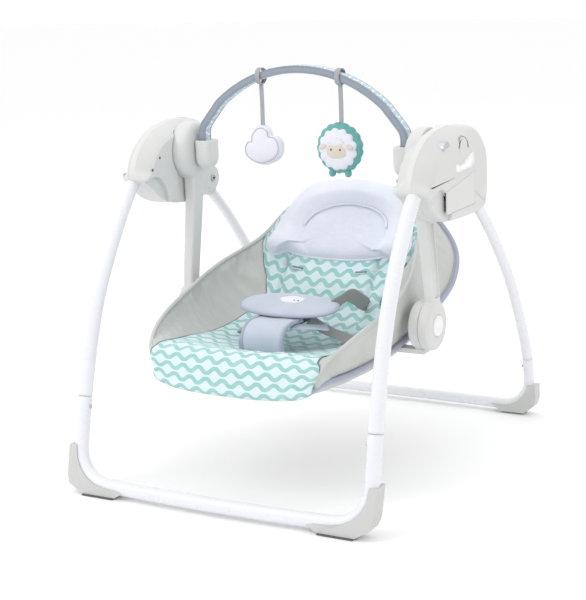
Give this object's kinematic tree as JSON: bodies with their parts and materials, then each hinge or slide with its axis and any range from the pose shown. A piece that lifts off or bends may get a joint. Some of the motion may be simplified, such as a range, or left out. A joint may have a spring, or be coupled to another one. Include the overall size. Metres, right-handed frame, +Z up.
{
  "type": "baby swing",
  "caption": "Folding portable baby swing: tubular stand, side housings with a battery drive, hanging reclining fabric seat, harness and arched toy bar with hanging soft toys.",
  "frame": {"origin": "on the floor under the centre of the stand's bounding box", "axes": "+Z up, -Y towards the front where the baby faces, +X towards the motor housing"},
  "size_m": [0.591, 0.724, 0.688],
  "materials": {
    "tube_paint": "white gloss powder coat",
    "shell_plastic": "light grey, fine satin moulding",
    "button_plastic": "white",
    "pad_rubber": "matte dark",
    "bare_steel": "zinc plated",
    "black_plastic": "black moulding",
    "board": "green laminate",
    "cell_wrap": "plain dark wrap",
    "seat_fabric": "printed teal pad with light grey side panels",
    "soft_fabric": "padded pale lavender velour",
    "toy_fabric": "short pile plush",
    "bar_sleeve": "patterned fabric sleeve",
    "webbing": "woven grey webbing"
  },
  "bodies": {
    "stand": {"front_base_tube": "tube_paint", "front_leg_left": "tube_paint", "front_leg_right": "tube_paint", "front_foot_left": "shell_plastic", "front_foot_right": "shell_plastic", "front_pad_left": "pad_rubber", "front_pad_right": "pad_rubber", "left_housing_outer": "shell_plastic", "left_housing_inner": "shell_plastic", "motor_housing_outer": "shell_plastic", "motor_housing_inner": "shell_plastic", "drive_motor": "bare_steel", "circuit_board": "board", "speaker": "black_plastic", "battery_cell_1": "cell_wrap", "battery_cell_2": "cell_wrap", "battery_cell_3": "cell_wrap", "battery_cell_4": "cell_wrap", "axle_bush_left": "button_plastic", "axle_bush_right": "button_plastic", "pivot_screw_left": "bare_steel", "pivot_screw_right": "bare_steel"},
    "rear_frame": {"rear_base_tube": "tube_paint", "rear_leg_left": "tube_paint", "rear_leg_right": "tube_paint", "rear_foot_left": "shell_plastic", "rear_foot_right": "shell_plastic", "rear_pad_left": "pad_rubber", "rear_pad_right": "pad_rubber", "pivot_lug_left": "shell_plastic", "pivot_lug_right": "shell_plastic"},
    "swing": {"swing_arm_left": "shell_plastic", "swing_arm_right": "shell_plastic", "swing_axle_left": "bare_steel", "swing_axle_right": "bare_steel", "drive_gear": "button_plastic"},
    "seat": {"seat_bracket_left": "shell_plastic", "seat_bracket_right": "shell_plastic", "seat_frame": "bare_steel", "seat_bucket": "seat_fabric", "headrest": "soft_fabric", "belly_pad": "soft_fabric", "crotch_strap": "soft_fabric", "harness_buckle": "black_plastic", "waist_strap_left": "webbing", "waist_strap_right": "webbing"},
    "toy_bar": {"toy_bar": "bar_sleeve", "bar_socket_left": "shell_plastic", "bar_socket_right": "shell_plastic"},
    "cloud_toy": {"cloud_toy": "toy_fabric"},
    "sheep_toy": {"sheep_toy": "toy_fabric"},
    "battery_door": {"battery_door": "shell_plastic"},
    "speed_dial": {"speed_dial": "button_plastic"},
    "motor_pinion": {"motor_pinion": "button_plastic"},
    "recline_button_left": {"recline_button_left": "button_plastic"},
    "recline_button_right": {"recline_button_right": "button_plastic"},
    "front_snap_left": {"front_snap_left": "bare_steel"},
    "front_snap_right": {"front_snap_right": "bare_steel"},
    "rear_snap_left": {"rear_snap_left": "bare_steel"},
    "rear_snap_right": {"rear_snap_right": "bare_steel"}
  },
  "joints": [
    {"name": "swing_sway", "type": "hinge", "parent": "stand", "child": "swing", "pos_m": [0, -0.008, 0.538], "axis": [1, 0, 0], "range_deg": [-12, 12]},
    {"name": "rear_fold", "type": "hinge", "parent": "stand", "child": "rear_frame", "pos_m": [0, 0.088, 0.472], "axis": [1, 0, 0], "range_deg": [-60, 0]},
    {"name": "seat_recline", "type": "hinge", "parent": "swing", "child": "seat", "pos_m": [0, -0.01, 0.255], "axis": [1, 0, 0], "range_deg": [-14, 0]},
    {"name": "toy_bar_tilt", "type": "hinge", "parent": "swing", "child": "toy_bar", "pos_m": [0, -0.008, 0.538], "axis": [1, 0, 0], "range_deg": [-45, 45]},
    {"name": "cloud_toy_swing", "type": "hinge", "parent": "toy_bar", "child": "cloud_toy", "pos_m": [-0.0765, -0.008, 0.66963], "axis": [1, 0, 0], "range_deg": [-25, 25]},
    {"name": "sheep_toy_swing", "type": "hinge", "parent": "toy_bar", "child": "sheep_toy", "pos_m": [0.0765, -0.008, 0.66963], "axis": [1, 0, 0], "range_deg": [-25, 25]},
    {"name": "recline_button_left_press", "type": "slide", "parent": "swing", "child": "recline_button_left", "axis": [1, 0, 0], "range_m": [0, 0.003], "stiffness_N_per_m": 500, "springref_m": -0.002},
    {"name": "recline_button_right_press", "type": "slide", "parent": "swing", "child": "recline_button_right", "axis": [-1, 0, 0], "range_m": [0, 0.003], "stiffness_N_per_m": 500, "springref_m": -0.002},
    {"name": "front_snap_left_press", "type": "slide", "parent": "stand", "child": "front_snap_left", "axis": [-1, 0, 0], "range_m": [0, 0.003], "stiffness_N_per_m": 600, "springref_m": -0.001},
    {"name": "front_snap_right_press", "type": "slide", "parent": "stand", "child": "front_snap_right", "axis": [1, 0, 0], "range_m": [0, 0.003], "stiffness_N_per_m": 600, "springref_m": -0.001},
    {"name": "rear_snap_left_press", "type": "slide", "parent": "rear_frame", "child": "rear_snap_left", "axis": [-1, 0, 0], "range_m": [0, 0.003], "stiffness_N_per_m": 600, "springref_m": -0.001},
    {"name": "rear_snap_right_press", "type": "slide", "parent": "rear_frame", "child": "rear_snap_right", "axis": [1, 0, 0], "range_m": [0, 0.003], "stiffness_N_per_m": 600, "springref_m": -0.001},
    {"name": "battery_door_open", "type": "hinge", "parent": "stand", "child": "battery_door", "pos_m": [0.2941, 0, 0.4559], "axis": [0, 1, 0], "range_deg": [0, 85]},
    {"name": "speed_dial_turn", "type": "hinge", "parent": "stand", "child": "speed_dial", "pos_m": [0.293, 0, 0.556], "axis": [1, 0, 0], "range_deg": [0, 270]},
    {"name": "motor_pinion_spin", "type": "hinge", "parent": "stand", "child": "motor_pinion", "pos_m": [0.254, -0.062, 0.56], "axis": [1, 0, 0], "range_deg": [-31, 31]}
  ],
  "couplings": [
    {"joint": "motor_pinion_spin", "follows": "swing_sway", "ratio": -2.5}
  ]
}
